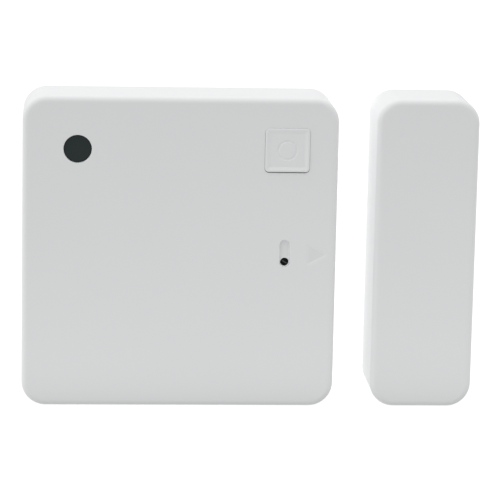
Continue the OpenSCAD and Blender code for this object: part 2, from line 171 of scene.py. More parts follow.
class Skin:
    """A mesh made from rings of points, joined by walls and filled by plates.
    place, if given, is the matrix that puts it where it belongs."""

    def __init__(self, place=None):
        self.verts, self.faces, self.marks = [], [], []
        self.place = place

    def paint(self, index):
        """Gives the faces made since the last call a material index."""
        self.marks += [index] * (len(self.faces) - len(self.marks))

    def ring(self, points):
        first = len(self.verts)
        self.verts += points
        return list(range(first, len(self.verts)))

    def join(self, a, b):
        for i in range(len(a)):
            j = (i + 1) % len(a)
            self.faces.append((a[i], a[j], b[j], b[i]))

    def wall(self, outline, path, steps=6):
        """A wall that follows a path round an outline. Returns its first and last ring."""
        rings = [self.ring(outline.ring(grow, out)) for grow, out in rounded(path, steps)]
        for a, b in zip(rings, rings[1:]):
            self.join(a, b)
        return rings[0], rings[-1]

    def plate(self, outer, holes=()):
        """A flat plate inside a ring, with holes."""
        loops = [outer, *holes]
        order = [i for loop in loops for i in loop]
        flat = [[Vector((self.verts[i].x, self.verts[i].z, 0)) for i in loop] for loop in loops]
        for triangle in tessellate_polygon(flat):
            self.faces.append(tuple(order[i] for i in triangle))

    def coil(self, turns, first_r, last_r, length, wire, steps=28, sides=10):
        """A helical wire along out, with its first and last half turns closed up flat."""
        last, count = None, round(turns * steps)
        for i in range(count + 1):
            turn = i / steps
            share = min(1, max(0, (turn - 0.5) / (turns - 1)))
            radius = first_r + (last_r - first_r) * turn / turns
            angle = 2 * math.pi * turn
            away = Vector((math.cos(angle), 0, math.sin(angle)))
            middle = away * radius + Vector((0, -length * share, 0))
            ring = self.ring([middle + wire * (away * math.cos(a) + Vector((0, -math.sin(a), 0)))
                              for a in (2 * math.pi * k / sides for k in range(sides))])
            if last:
                self.join(last, ring)
            else:
                self.faces.append(tuple(ring))
            last = ring
        self.faces.append(tuple(last))

    def strip(self, points, width, low, high):
        """A flat raised line through (x, z) points."""
        spots = [Vector(p) for p in points]
        rows = []
        for i, spot in enumerate(spots):
            before = (spot - spots[i - 1]).normalized() if i else (spots[1] - spot).normalized()
            after = (spots[i + 1] - spot).normalized() if i + 1 < len(spots) else before
            side = Vector((-before.y - after.y, before.x + after.x)).normalized()
            side *= width / 2 / max(0.5, side.dot(Vector((-before.y, before.x))))
            rows.append(self.ring([Vector((p.x, -out, p.y)) for p, out in (
                (spot - side, low), (spot - side, high), (spot + side, high), (spot + side, low))]))
        for a, b in zip(rows, rows[1:]):
            self.join(a, b)
        self.faces += [tuple(rows[0]), tuple(rows[-1])]

    def solid(self, outline, path, steps=6):
        """A closed turned or rounded solid: a wall along a path, with a plate over each end."""
        first, last = self.wall(outline, path, steps)
        self.plate(first)
        self.plate(last)


def toward(origin, axis):
    """The placing that turns out (-Y) towards an axis."""
    turn = Vector((0, -1, 0)).rotation_difference(Vector(axis)).to_matrix().to_4x4()
    return Matrix.Translation(origin) @ turn


def add_modifier(piece, kind, **settings):
    modifier = piece.modifiers.new(kind.title(), kind)
    for key, value in settings.items():
        setattr(modifier, key, value)
    return modifier


def add_piece(name, skin, body, materials, replaced=()):
    """A smooth-shaded mesh that rides on a body and stands for the CAD nodes named in
    replaced."""
    mesh = bpy.data.meshes.new(name)
    skin.paint(0)
    mesh.from_pydata([tuple(skin.place @ v if skin.place else v) for v in skin.verts], [], skin.faces)
    for polygon, index in zip(mesh.polygons, skin.marks):
        polygon.material_index = index
    clean = bmesh.new()
    clean.from_mesh(mesh)
    bmesh.ops.recalc_face_normals(clean, faces=clean.faces)
    clean.to_mesh(mesh)
    clean.free()
    for polygon in mesh.polygons:
        polygon.use_smooth = True
    for material in materials:
        mesh.materials.append(material)
    piece = bpy.data.objects.new(name, mesh)
    bpy.context.scene.collection.objects.link(piece)
    if body:
        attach(piece, body)
    if replaced:
        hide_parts(*replaced)
    return piece


def soften(node, width, material):
    """Keeps a CAD node's shape, rounds its sharp edges a little and gives it a material."""
    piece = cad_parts[node]
    add_modifier(piece, "WELD", merge_threshold=1e-6)
    add_modifier(piece, "DECIMATE", decimate_type="DISSOLVE", angle_limit=math.radians(0.5))
    add_modifier(piece, "BEVEL", width=width, segments=3, limit_method="ANGLE",
                 angle_limit=math.radians(35), miter_outer="MITER_ARC")
    add_modifier(piece, "WEIGHTED_NORMAL", keep_sharp=True, weight=60)
    for polygon in piece.data.polygons:
        polygon.use_smooth = True
    for slot in piece.material_slots:
        slot.material = material


def cut_notch(piece, middle_x, half_w):
    """Cuts the pry slot out of a cover's rear bottom edge."""
    low, high = piece.bound_box[0], piece.bound_box[6]
    mesh = bpy.data.meshes.new(piece.name + "_cutter")
    depth, sharp = 1.0 * MM, math.radians(50)
    corners = [(x, y, z) for x in (middle_x - half_w, middle_x + half_w)
               for y in (high[1] - depth, high[1] + depth) for z in (low[2] - depth, low[2] + WALL + depth)]
    sides = [(0, 1, 3, 2), (4, 6, 7, 5), (0, 4, 5, 1), (2, 3, 7, 6), (0, 2, 6, 4), (1, 5, 7, 3)]
    mesh.from_pydata(corners, [], sides)
    cutter = bpy.data.objects.new(mesh.name, mesh)
    bpy.context.scene.collection.objects.link(cutter)
    cut = add_modifier(piece, "BOOLEAN", operation="DIFFERENCE", object=cutter, solver="EXACT")
    bpy.context.view_layer.update()
    result = bpy.data.meshes.new_from_object(piece.evaluated_get(bpy.context.evaluated_depsgraph_get()))
    piece.modifiers.remove(cut)
    piece.data = result
    bpy.data.objects.remove(cutter)
    marked = bmesh.new()
    marked.from_mesh(result)
    for edge in marked.edges:
        if len(edge.link_faces) == 2 and edge.calc_face_angle() > sharp:
            edge.smooth = False
    marked.to_mesh(result)
    marked.free()


# ---------- materials ----------


class Nodes:
    """A material's node tree, with short ways to add and join nodes."""

    def __init__(self, name):
        self.material = bpy.data.materials.new(name)
        self.material.use_nodes = True
        self.tree = self.material.node_tree
        self.shader = self.tree.nodes["Principled BSDF"]
        self.place = self.add("ShaderNodeTexCoord").outputs["Object"]

    def add(self, kind, inputs=None, **settings):
        node = self.tree.nodes.new(kind)
        for key, value in settings.items():
            setattr(node, key, value)
        for key, value in (inputs or {}).items():
            self.put(node.inputs[key], value)
        return node

    def put(self, socket, value):
        if isinstance(value, bpy.types.NodeSocket):
            self.tree.links.new(value, socket)
        else:
            socket.default_value = value

    def set(self, **values):
        """Sets or links the shader's inputs, named with _ for a space."""
        for key, value in values.items():
            self.put(self.shader.inputs[key.replace("_", " ")], value)

    def noise(self, scale, detail=3.0, rough=0.55, stretch=None):
        place = self.place
        if stretch:
            place = self.add("ShaderNodeMapping", {"Vector": place, "Scale": stretch}).outputs[0]
        return self.add("ShaderNodeTexNoise", {"Vector": place, "Scale": scale, "Detail": detail,
                                               "Roughness": rough}).outputs["Fac"]

    def spread(self, value, low, high, start=0.0, end=1.0):
        """Maps start to end onto low to high."""
        return self.add("ShaderNodeMapRange", {"Value": value, "From Min": start, "From Max": end,
                                               "To Min": low, "To Max": high}).outputs["Result"]

    def math(self, operation, a, b):
        return self.add("ShaderNodeMath", {0: a, 1: b}, operation=operation).outputs[0]

    def blend(self, factor, first, second):
        mix = self.add("ShaderNodeMix", data_type="RGBA")
        self.put(mix.inputs[0], factor)
        self.put(mix.inputs[6], (*first, 1) if isinstance(first, tuple) else first)
        self.put(mix.inputs[7], (*second, 1) if isinstance(second, tuple) else second)
        return mix.outputs[2]

    def bump(self, height, strength, distance):
        node = self.add("ShaderNodeBump", {"Height": height, "Strength": strength, "Distance": distance})
        self.set(Normal=node.outputs["Normal"])


def shade(color, factor):
    return tuple(min(1.0, c * factor) for c in color)


def moulded_plastic(name, color, rough, grain=0.25, drift=0.015, gloss=0.5):
    """Injection-moulded plastic: fine spark-eroded grain and a faint drift in tone and gloss."""
    n = Nodes(name)
    cloud = n.noise(45, 4)
    fine = n.noise(5200, 2, 0.6)
    n.set(Base_Color=n.blend(cloud, shade(color, 1 - drift), shade(color, 1 + drift)),
          Roughness=n.spread(n.noise(900, 3), rough - 0.05, rough + 0.05), Specular_IOR_Level=gloss)
    n.bump(fine, grain, 6e-6)
    return n.material


WHITE = (0.836, 0.845, 0.848)
white_plastic = moulded_plastic("white_abs", WHITE, 0.46)
# the alignment mark's floor: smoother and glossier, with its colour darkened as painted shade for the recess
white_polished_painted_shade = moulded_plastic("white_abs_polished", shade(WHITE, 0.962), 0.42, grain=0.05)
button_plastic = moulded_plastic("button_abs", shade(WHITE, 1.01), 0.40, grain=0.12)
inner_plastic = moulded_plastic("base_abs", (0.74, 0.74, 0.72), 0.52)
smoked = moulded_plastic("smoked_polycarbonate", (0.018, 0.028, 0.028), 0.16,
                         grain=0.03, drift=0.05, gloss=0.36)
pipe_black = moulded_plastic("light_pipe_black", (0.004, 0.004, 0.005), 0.25,
                             grain=0.03, drift=0.05, gloss=0.15)
# lighter grey for the bar across the light pipe's tip: a painted glint
pipe_painted_glint = moulded_plastic("light_pipe_bar", (0.06, 0.06, 0.062), 0.2, grain=0.03, drift=0.05, gloss=0.3)


def between(n, axis, low, high):
    """1 where the place along an axis lies between two values, 0 elsewhere."""
    value = n.add("ShaderNodeSeparateXYZ", {0: n.place}).outputs[axis]
    return n.math("MULTIPLY", n.math("GREATER_THAN", value, low), n.math("LESS_THAN", value, high))


def metal(name, color, rough, stretch=(1, 1, 1), strength=0.15):
    """Rolled or plated metal: fine drawn lines, and patches of duller surface."""
    n = Nodes(name)
    lines = n.noise(2600, 3, 0.6, stretch)
    cloud = n.noise(380, 4)
    n.set(Base_Color=n.blend(cloud, shade(color, 0.9), shade(color, 1.05)), Metallic=1.0,
          Roughness=n.spread(cloud, rough - 0.07, rough + 0.12))
    n.bump(lines, strength, 5e-6)
    return n.material


def foam():
    """Closed-cell foam tape: a pale sheet with fine open pores."""
    n = Nodes("foam_tape_cells")
    cells = n.add("ShaderNodeTexVoronoi", {"Vector": n.place, "Scale": 3200.0}).outputs["Distance"]
    cloud = n.noise(140, 4)
    n.set(Base_Color=n.blend(n.spread(cells, 0, 1, 0.1, 0.6), (0.50, 0.51, 0.50), (0.66, 0.67, 0.66)),
          Roughness=n.spread(cloud, 0.85, 0.97), Specular_IOR_Level=0.2)
    n.bump(cells, 0.5, 4e-5)
    return n.material


def laminate(name, color, copper):
    """Solder mask over a woven board: copper pours show through it, and the bare edges are paler."""
    n = Nodes(name)
    thread = 9000  # radians to a metre
    mask_end, mask_start = 0.02 * MM, 0.97 * MM  # where the front's mask ends and the back's starts
    x, y, z = n.add("ShaderNodeSeparateXYZ", {0: n.place}).outputs
    warp = n.math("SINE", n.math("MULTIPLY", x, thread), 0)
    weft = n.math("SINE", n.math("MULTIPLY", z, thread), 0)
    pour = n.add("ShaderNodeTexVoronoi", {"Vector": n.place, "Scale": 130.0}, distance="CHEBYCHEV",
                 feature="F1").outputs["Color"]
    tone = n.blend(n.spread(pour, 0, 1, 0.2, 0.8), color, copper)
    front = n.math("LESS_THAN", y, -BOARD_TOP + mask_end)
    back = n.math("GREATER_THAN", y, -BOARD_TOP + mask_start)
    faced = n.math("MAXIMUM", front, back)
    n.set(Base_Color=n.blend(faced, (0.42, 0.40, 0.22), tone), Roughness=n.spread(n.noise(700, 3), 0.28, 0.4))
    n.bump(n.math("MULTIPLY", warp, weft), 0.12, 8e-6)
    return n.material


def chip_resin():
    """Filled epoxy, with tinned leads along the board round the main chip's square body."""
    n = Nodes("chip_epoxy")
    fine = n.noise(6000, 3)
    at, body_half, lead_high = centre("main_chip"), 3.45 * MM, 0.255 * MM
    body = n.math("MULTIPLY", between(n, 0, at.x - body_half, at.x + body_half),
                  between(n, 2, at.z - body_half, at.z + body_half))
    lead = n.math("MULTIPLY", between(n, 1, -BOARD_TOP - lead_high, 0), n.math("SUBTRACT", 1.0, body))
    lead = n.math("MULTIPLY", lead, between(n, 0, 0.0, 1.0))  # not on the light sensor, at negative x
    resin = n.blend(fine, (0.012, 0.012, 0.013), (0.026, 0.026, 0.028))
    n.set(Base_Color=n.blend(lead, resin, (0.72, 0.72, 0.70)), Metallic=lead,
          Roughness=n.spread(fine, 0.42, 0.6))
    n.bump(fine, 0.3, 6e-6)
    return n.material


def two_tone(name, axis, split, below, above, rough):
    """A part with one finish below a level on an axis and another above: (color, metallic) each."""
    n = Nodes(name)
    high = between(n, axis, split, 1.0)
    fine = n.noise(3500, 3)
    dull = n.blend(high, shade(below[0], 0.93), shade(above[0], 0.93))
    clean = n.blend(high, below[0], above[0])
    n.set(Base_Color=n.blend(n.spread(fine, 0, 1, 0.3, 0.7), dull, clean),
          Metallic=n.spread(high, below[1], above[1]), Roughness=n.spread(fine, rough - 0.06, rough + 0.08))
    n.bump(fine, 0.15, 5e-6)
    return n.material


def clear_glass():
    n = Nodes("reed_glass_tube")
    n.set(Base_Color=(0.80, 0.95, 0.88, 1), Roughness=n.spread(n.noise(900, 2), 0.02, 0.07), IOR=1.5,
          Transmission_Weight=0.92)
    n.bump(n.noise(700, 2), 0.04, 2e-5)
    return n.material


tinned = metal("tinned_steel", (0.74, 0.75, 0.77), 0.30, (1, 1, 0.06), 0.10)
zinc = metal("zinc_plate", (0.66, 0.68, 0.70), 0.34)
spring_wire = metal("spring_wire", (0.78, 0.78, 0.80), 0.24, (1, 0.1, 1), 0.08)
contact_plate = metal("contact_plate", (0.78, 0.78, 0.79), 0.28, (1, 0.05, 1), 0.12)
magnet_plate = metal("magnet_nickel_plate", (0.70, 0.69, 0.66), 0.26, (0.1, 1, 0.1), 0.12)
reed_metal = metal("reed_alloy_wire", (0.62, 0.58, 0.50), 0.3)
pad_metal = metal("tinned_pad", (0.80, 0.79, 0.74), 0.32)
cell_metal = metal("cell_can_steel", (0.80, 0.80, 0.80), 0.26)
foam_tape = foam()
board_green = laminate("board_mask_green", (0.012, 0.090, 0.040), (0.020, 0.125, 0.055))
trace_green = moulded_plastic("trace_under_mask", (0.030, 0.170, 0.075), 0.3, grain=0.05, drift=0.08)
screen_ink = moulded_plastic("silkscreen_ink", (0.78, 0.78, 0.76), 0.6, grain=0.1, drift=0.05)
epoxy = chip_resin()
black_nylon = moulded_plastic("switch_nylon", (0.018, 0.018, 0.020), 0.45, drift=0.12)
pale_acetal = moulded_plastic("acetal_pale", (0.68, 0.68, 0.66), 0.36, grain=0.1, drift=0.03)
red_acetal = moulded_plastic("acetal_red", (0.50, 0.065, 0.030), 0.34, grain=0.1, drift=0.06)
led_epoxy = moulded_plastic("led_epoxy", (0.80, 0.80, 0.70), 0.14, grain=0.03, drift=0.04)
cell_dark = moulded_plastic("cell_sleeve_dark", (0.022, 0.024, 0.028), 0.24, grain=0.04, drift=0.12)
cell_band = moulded_plastic("cell_sleeve_band", (0.33, 0.34, 0.36), 0.26, grain=0.04, drift=0.06)
resistor_body = moulded_plastic("resistor_ceramic_black", (0.03, 0.03, 0.035), 0.35, drift=0.15)
capacitor_body = moulded_plastic("capacitor_ceramic_tan", (0.40, 0.27, 0.15), 0.42, drift=0.10)
tantalum_body = moulded_plastic("tantalum_resin", (0.62, 0.38, 0.05), 0.4, drift=0.05)

# ---------- sensor unit: front ----------

BUTTON = centre("push_button")
WINDOW = centre("sensor_window")
PIPE = centre("indicator_light_pipe")
POST = centre("tamper_switch_plunger")
WINDOW_R = 2.9 * MM
OPENING_HALF = 4.65 * MM
OPENING = Vector((BUTTON.x, 0, BUTTON.z - 0.085 * MM))
RECESS_HALF, RECESS_R, RECESS_DEPTH = 1.785 * MM, 1.075 * MM, 0.72 * MM
RECESS = Vector((PIPE.x - 0.04 * MM, 0, PIPE.z + RECESS_HALF + 0.1 * MM))
EDGE = 0.12 * MM
AWAY = 2 * MM  # any reach will do: it only gives a path's first or last direction


def build_outer_shell(skin, outline, front_edge=1.2 * MM):
    """Skirt and round front edge. Returns the rings that bound the inner and the front plate."""
    reach = -0.8 * CORNER
    return skin.wall(outline, [
        (reach, INNER, None), (-WALL, INNER, 0.4 * MM), (-WALL, BACK, 0.15 * MM), (0, BACK, 0.15 * MM),
        (0, FRONT, front_edge), (reach, FRONT, None)], 10)


def build_front_cover():
    skin = Skin()
    half = half_size("front_cover")
    outline = Rectangle(centre("front_cover"), half.x, half.z, CORNER, 64)
    inner_ring, front_ring = build_outer_shell(skin, outline)

    # window hole with a locating ring behind it
    ring_in, ring_out, ring_h = 1.4 * MM, 2.5 * MM, 1.4 * MM
    window = skin.wall(circle(WINDOW, WINDOW_R), [
        (AWAY, FRONT, None), (0, FRONT, EDGE), (0, INNER, EDGE), (ring_in, INNER, EDGE),
        (ring_in, INNER - ring_h, EDGE), (ring_out, INNER - ring_h, EDGE), (ring_out, INNER, EDGE),
        (ring_out + AWAY, INNER, None)])

    # button opening with a guide sleeve behind it
    opening = skin.wall(Rectangle(OPENING, OPENING_HALF, OPENING_HALF, 0.95 * MM), [
        (AWAY, FRONT, None), (0, FRONT, 0.04 * MM), (0, INNER, EDGE), (AWAY, INNER, None)])
    guide_in, guide_out, guide_h = 5.7 * MM, 6.5 * MM, 2.4 * MM
    sleeve_in = skin.wall(Rectangle(OPENING, guide_in, guide_in, 0.15 * MM), [
        (-AWAY, INNER, None), (0, INNER, EDGE), (0, INNER - guide_h, EDGE), (AWAY, INNER - guide_h, None)])
    sleeve_out = skin.wall(Rectangle(OPENING, guide_out, guide_out, 0.3 * MM), [
        (-AWAY, INNER - guide_h, None), (0, INNER - guide_h, EDGE), (0, INNER, EDGE), (AWAY, INNER, None)])
    skin.join(opening[1], sleeve_in[0])
    skin.join(sleeve_in[1], sleeve_out[0])

    # capsule recess with the light pipe's hole in its floor and a boss behind
    ends = [(RECESS.x, RECESS.z - RECESS_HALF), (RECESS.x, RECESS.z + RECESS_HALF)]
    recess_floor = FRONT - RECESS_DEPTH
    recess = skin.wall(Outline(ends, RECESS_R), [
        (AWAY, FRONT, None), (0, FRONT, 0.14 * MM), (0, recess_floor, 0.2 * MM), (-AWAY, recess_floor, None)])
    hole, bore, boss, boss_h = 0.88 * MM, 0.72 * MM, 1.72 * MM, 1.6 * MM
    pipe = skin.wall(circle(PIPE, hole), [
        (AWAY, recess_floor, None), (0, recess_floor, 0.05 * MM), (0, INNER, 0.1 * MM),
        (bore, INNER, 0.1 * MM), (bore, INNER - boss_h, EDGE), (boss, INNER - boss_h, EDGE),
        (boss, INNER, EDGE), (boss + AWAY, INNER, None)])
    skin.plate(recess[1], [pipe[0]])

    # alignment mark: a shallow triangle with soft slopes, which points at the magnet unit
    mark_half, mark_l, mark_r, slope_r = 2.38 * MM, 4.45 * MM, 0.4 * MM, 0.5 * MM
    mark_floor = FRONT - 0.1 * MM
    left, level = RECESS.x + 4.6 * MM, RECESS.z - 0.15 * MM
    rise, tip_back = mark_half - 1.65 * mark_r, 2.15 * mark_r  # from the corners to their arcs' centres
    spots = [(left + mark_r, level - rise), (left + mark_l - tip_back, level), (left + mark_r, level + rise)]
    mark = skin.wall(Outline(spots, mark_r, 24), [
        (AWAY, FRONT, None), (0.14 * MM, FRONT, slope_r), (-0.22 * MM, mark_floor, slope_r),
        (-AWAY, mark_floor, None)])
    skin.paint(0)
    skin.plate(mark[1])
    # the mark's floor takes material 1, whose darker colour is painted shade
    skin.paint(1)

    # post that holds the tamper switch down
    post_r, clearance = 1.6 * MM, 0.05 * MM
    post_end = -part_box("tamper_switch_plunger")[0].y + clearance
    tip = skin.wall(circle(POST, post_r), [
        (-0.75 * post_r, post_end, 0), (0, post_end, 0.2 * MM), (0, INNER, EDGE), (AWAY, INNER, None)])
    skin.plate(tip[0])

    skin.plate(front_ring, [window[0], opening[0], recess[0], mark[0]])
    skin.plate(inner_ring, [window[1], sleeve_out[1], pipe[1], tip[1]])
    cover = add_piece("front_cover_shell", skin, "cover", [white_plastic, white_polished_painted_shade],
                      ["front_cover"])
    cut_notch(cover, 0, 6 * MM)


def build_magnet_cover():
    skin = Skin()
    middle, half = centre("magnet_cover"), half_size("magnet_cover")
    inner_ring, front_ring = build_outer_shell(skin, Rectangle(middle, half.x, half.z, CORNER, 64))
    skin.plate(front_ring)
    skin.plate(inner_ring)
    cover = add_piece("magnet_cover_shell", skin, "magnet_front", [white_plastic],
                      ["magnet_cover"])
    cut_notch(cover, middle.x, 4 * MM)


def build_button():
    """Square button: a soft raised rim round a flat panel with a pressed ring, flange and stem behind.
    The rim stands higher along the bottom edge, where a finger finds it."""
    low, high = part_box("push_button")
    top, stem_end = -low.y, -high.y
    flange_half = (high.x - low.x) / 2
    flange_front = INNER - 0.05 * MM
    flange_back = flange_front - 0.9 * MM
    side_gap, end_gap, lift, bow = 0.04 * MM, 0.07 * MM, 0.05 * MM, 0.26 * MM
    half_w, half_h = OPENING_HALF - side_gap, OPENING_HALF - end_gap
    middle = OPENING + Vector((0, 0, lift))
    skin = Skin()
    stem_r, stem_edge = 1.5 * MM, 0.2 * MM
    stem = skin.wall(circle(BUTTON, stem_r), [
        (stem_edge - stem_r, stem_end, 0), (0, stem_end, stem_edge), (0, flange_back, stem_edge),
        (AWAY, flange_back, None)])
    skin.plate(stem[0])
    flange = skin.wall(Rectangle(BUTTON, flange_half, flange_half, 0.3 * MM), [
        (-AWAY, flange_back, None), (0, flange_back, EDGE), (0, flange_front, EDGE),
        (-AWAY, flange_front, None)])
    skin.join(stem[1], flange[0])
    panel = FRONT + 0.05 * MM
    rim, top_share = len(skin.verts), 0.55
    cap = skin.wall(Rectangle(middle, half_w, half_h, 0.9 * MM), [
        (AWAY, flange_front, None), (0, flange_front, 0.1 * MM), (0, top, 0.26 * MM),
        (-0.45 * MM, top, 0.25 * MM), (-1.05 * MM, panel, 0.25 * MM), (-AWAY, panel, None)], 8)
    for v in skin.verts[rim:]:
        across = min(1, abs(v.x - middle.x) / half_w)
        drop = min(1, max(0, (middle.z + half_h - v.z) / (2 * half_h)))
        if -v.y > panel:
            v.y = -panel + (v.y + panel) * (top_share + (1 - top_share) * drop ** 1.5)
        v.z += bow * (1 - across ** 2) * max(0, 2 * drop - 1) ** 3
    skin.join(flange[1], cap[0])
    ring_r, groove = 1.9 * MM, panel - 0.12 * MM
    mark = skin.wall(circle(middle, ring_r), [
        (AWAY, panel, None), (0.3 * MM, panel, 0.15 * MM), (0.12 * MM, groove, 0.07 * MM),
        (-0.12 * MM, groove, 0.07 * MM), (-0.3 * MM, panel, 0.15 * MM), (-1.2 * MM, panel, 0)])
    skin.plate(cap[1], [mark[0]])
    skin.plate(mark[1])
    add_piece("button_cap", skin, "button", [button_plastic], ["push_button"])


def build_window():
    """Smoked round window with a softly rounded face edge and a flange behind."""
    low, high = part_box("sensor_window")
    flange, lens = (high.x - low.x) / 2, WINDOW_R - 0.05 * MM
    skin = Skin()
    skin.solid(circle(WINDOW, lens, 64), [
        (-lens * 0.9, -high.y, 0), (flange - lens, -high.y, 0.1 * MM), (flange - lens, INNER, 0.1 * MM),
        (0, INNER, 0.05 * MM), (0, -low.y, 0.2 * MM), (-lens * 0.9, -low.y - 0.06 * MM, 0)])
    add_piece("window_lens", skin, "cover", [smoked], ["sensor_window"])


def build_light_pipe():
    """Smoked light pipe: a wide foot over the light and a small tip with a raised bar across it, coloured
    lighter as a painted glint.
    """
    low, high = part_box("indicator_light_pipe")
    foot, tip = (high.x - low.x) / 2, 0.84 * MM
    skin = Skin()
    skin.solid(circle(PIPE, tip), [
        (-tip * 0.9, -high.y, 0), (foot - tip, -high.y, 0.15 * MM), (foot - tip, INNER, 0.15 * MM),
        (0, INNER, 0.05 * MM), (0, -low.y, 0.15 * MM), (-tip * 0.9, -low.y - 0.02 * MM, 0)])
    add_piece("light_pipe_tip", skin, "cover", [pipe_black], ["indicator_light_pipe"])
    # the raised bar across the tip is coloured lighter than the pipe, as a painted glint
    slope, bar_half, bar_r = math.radians(-30), 0.52 * MM, 0.15 * MM
    along = Vector((math.cos(slope), 0, math.sin(slope))) * bar_half
    raised = Skin()
    ends = [(PIPE.x + along.x, PIPE.z + along.z), (PIPE.x - along.x, PIPE.z - along.z)]
    foot, top = -low.y - 0.1 * MM, -low.y + 0.03 * MM
    raised.solid(Outline(ends, bar_r, 24), [
        (-0.1 * MM, foot, 0), (0, foot, 0), (0, top, 0.04 * MM), (-0.1 * MM, top, 0)])
    add_piece("light_pipe_bar", raised, "cover", [pipe_painted_glint])


build_front_cover()
build_magnet_cover()
build_button()
build_window()
build_light_pipe()

# ---------- sensor unit: board and parts ----------


def block(skin, x, z, w, h, low, high, radius=EDGE):
    """A block with rounded edges that stands on the board."""
    radius = min(radius, 0.3 * (high - low))
    reach = 0.8 * min(w, h) / 2
    skin.solid(Rectangle(Vector((x, 0, z)), w / 2, h / 2, radius, 16), [
        (-reach, low, 0), (0, low, 0), (0, high, radius), (-reach, high, 0)], 3)


def build_small_parts():
    """Surface-mount resistors and capacitors with plated ends, one mesh for each kind of body."""
    kinds = {"resistors": (resistor_body, []), "ceramic_capacitors": (capacitor_body, []),
             "tantalum": (tantalum_body, [])}
    # kind, first x and z, steps in x and z, how many, width, height and thickness, in mm
    rows = [("resistors", -4.5, -1.6, 2.1, 0, 6, 1.1, 2, 0.7),
            ("ceramic_capacitors", -3.2, 3, 0, 2.2, 4, 2, 1.1, 0.6),
            ("ceramic_capacitors", 14.6, 2.4, 2.2, 0, 3, 1.2, 2, 0.8),
            ("resistors", 14.6, 17.6, 0, 2.2, 3, 2, 1.1, 0.6),
            ("tantalum", 16.6, 6.9, 0, 0, 1, 3, 1.6, 1.1)]
    inset, step_down = 0.06, 0.03  # how far the body lies inside its plated ends, in mm
    for kind, x, z, step_x, step_z, count, w, h, high in rows:
        kinds[kind][1].extend((x + i * step_x, z + i * step_z, w, h, high) for i in range(count))
    for i, (kind, (body, parts)) in enumerate(kinds.items()):
        skin = Skin()
        for x, z, w, h, high in parts:
            along_x = w > h
            length, width = max(w, h), min(w, h)
            cap = 0.2 * length
            for side in (-1, 1):
                shift = side * (length - cap) / 2
                block(skin, (x + along_x * shift) * MM, (z + (not along_x) * shift) * MM,
                      (cap if along_x else width) * MM, (width if along_x else cap) * MM,
                      BOARD_TOP, BOARD_TOP + high * MM)
            skin.paint(1)
            inner, waist = length - 1.6 * cap, width - inset
            block(skin, x * MM, z * MM, (inner if along_x else waist) * MM,
                  (waist if along_x else inner) * MM, BOARD_TOP, BOARD_TOP + (high - step_down) * MM)
            skin.paint(0)
        add_piece(kind, skin, "sensor_base", [body, tinned],
                  ["small_components"] if i == 0 else ())


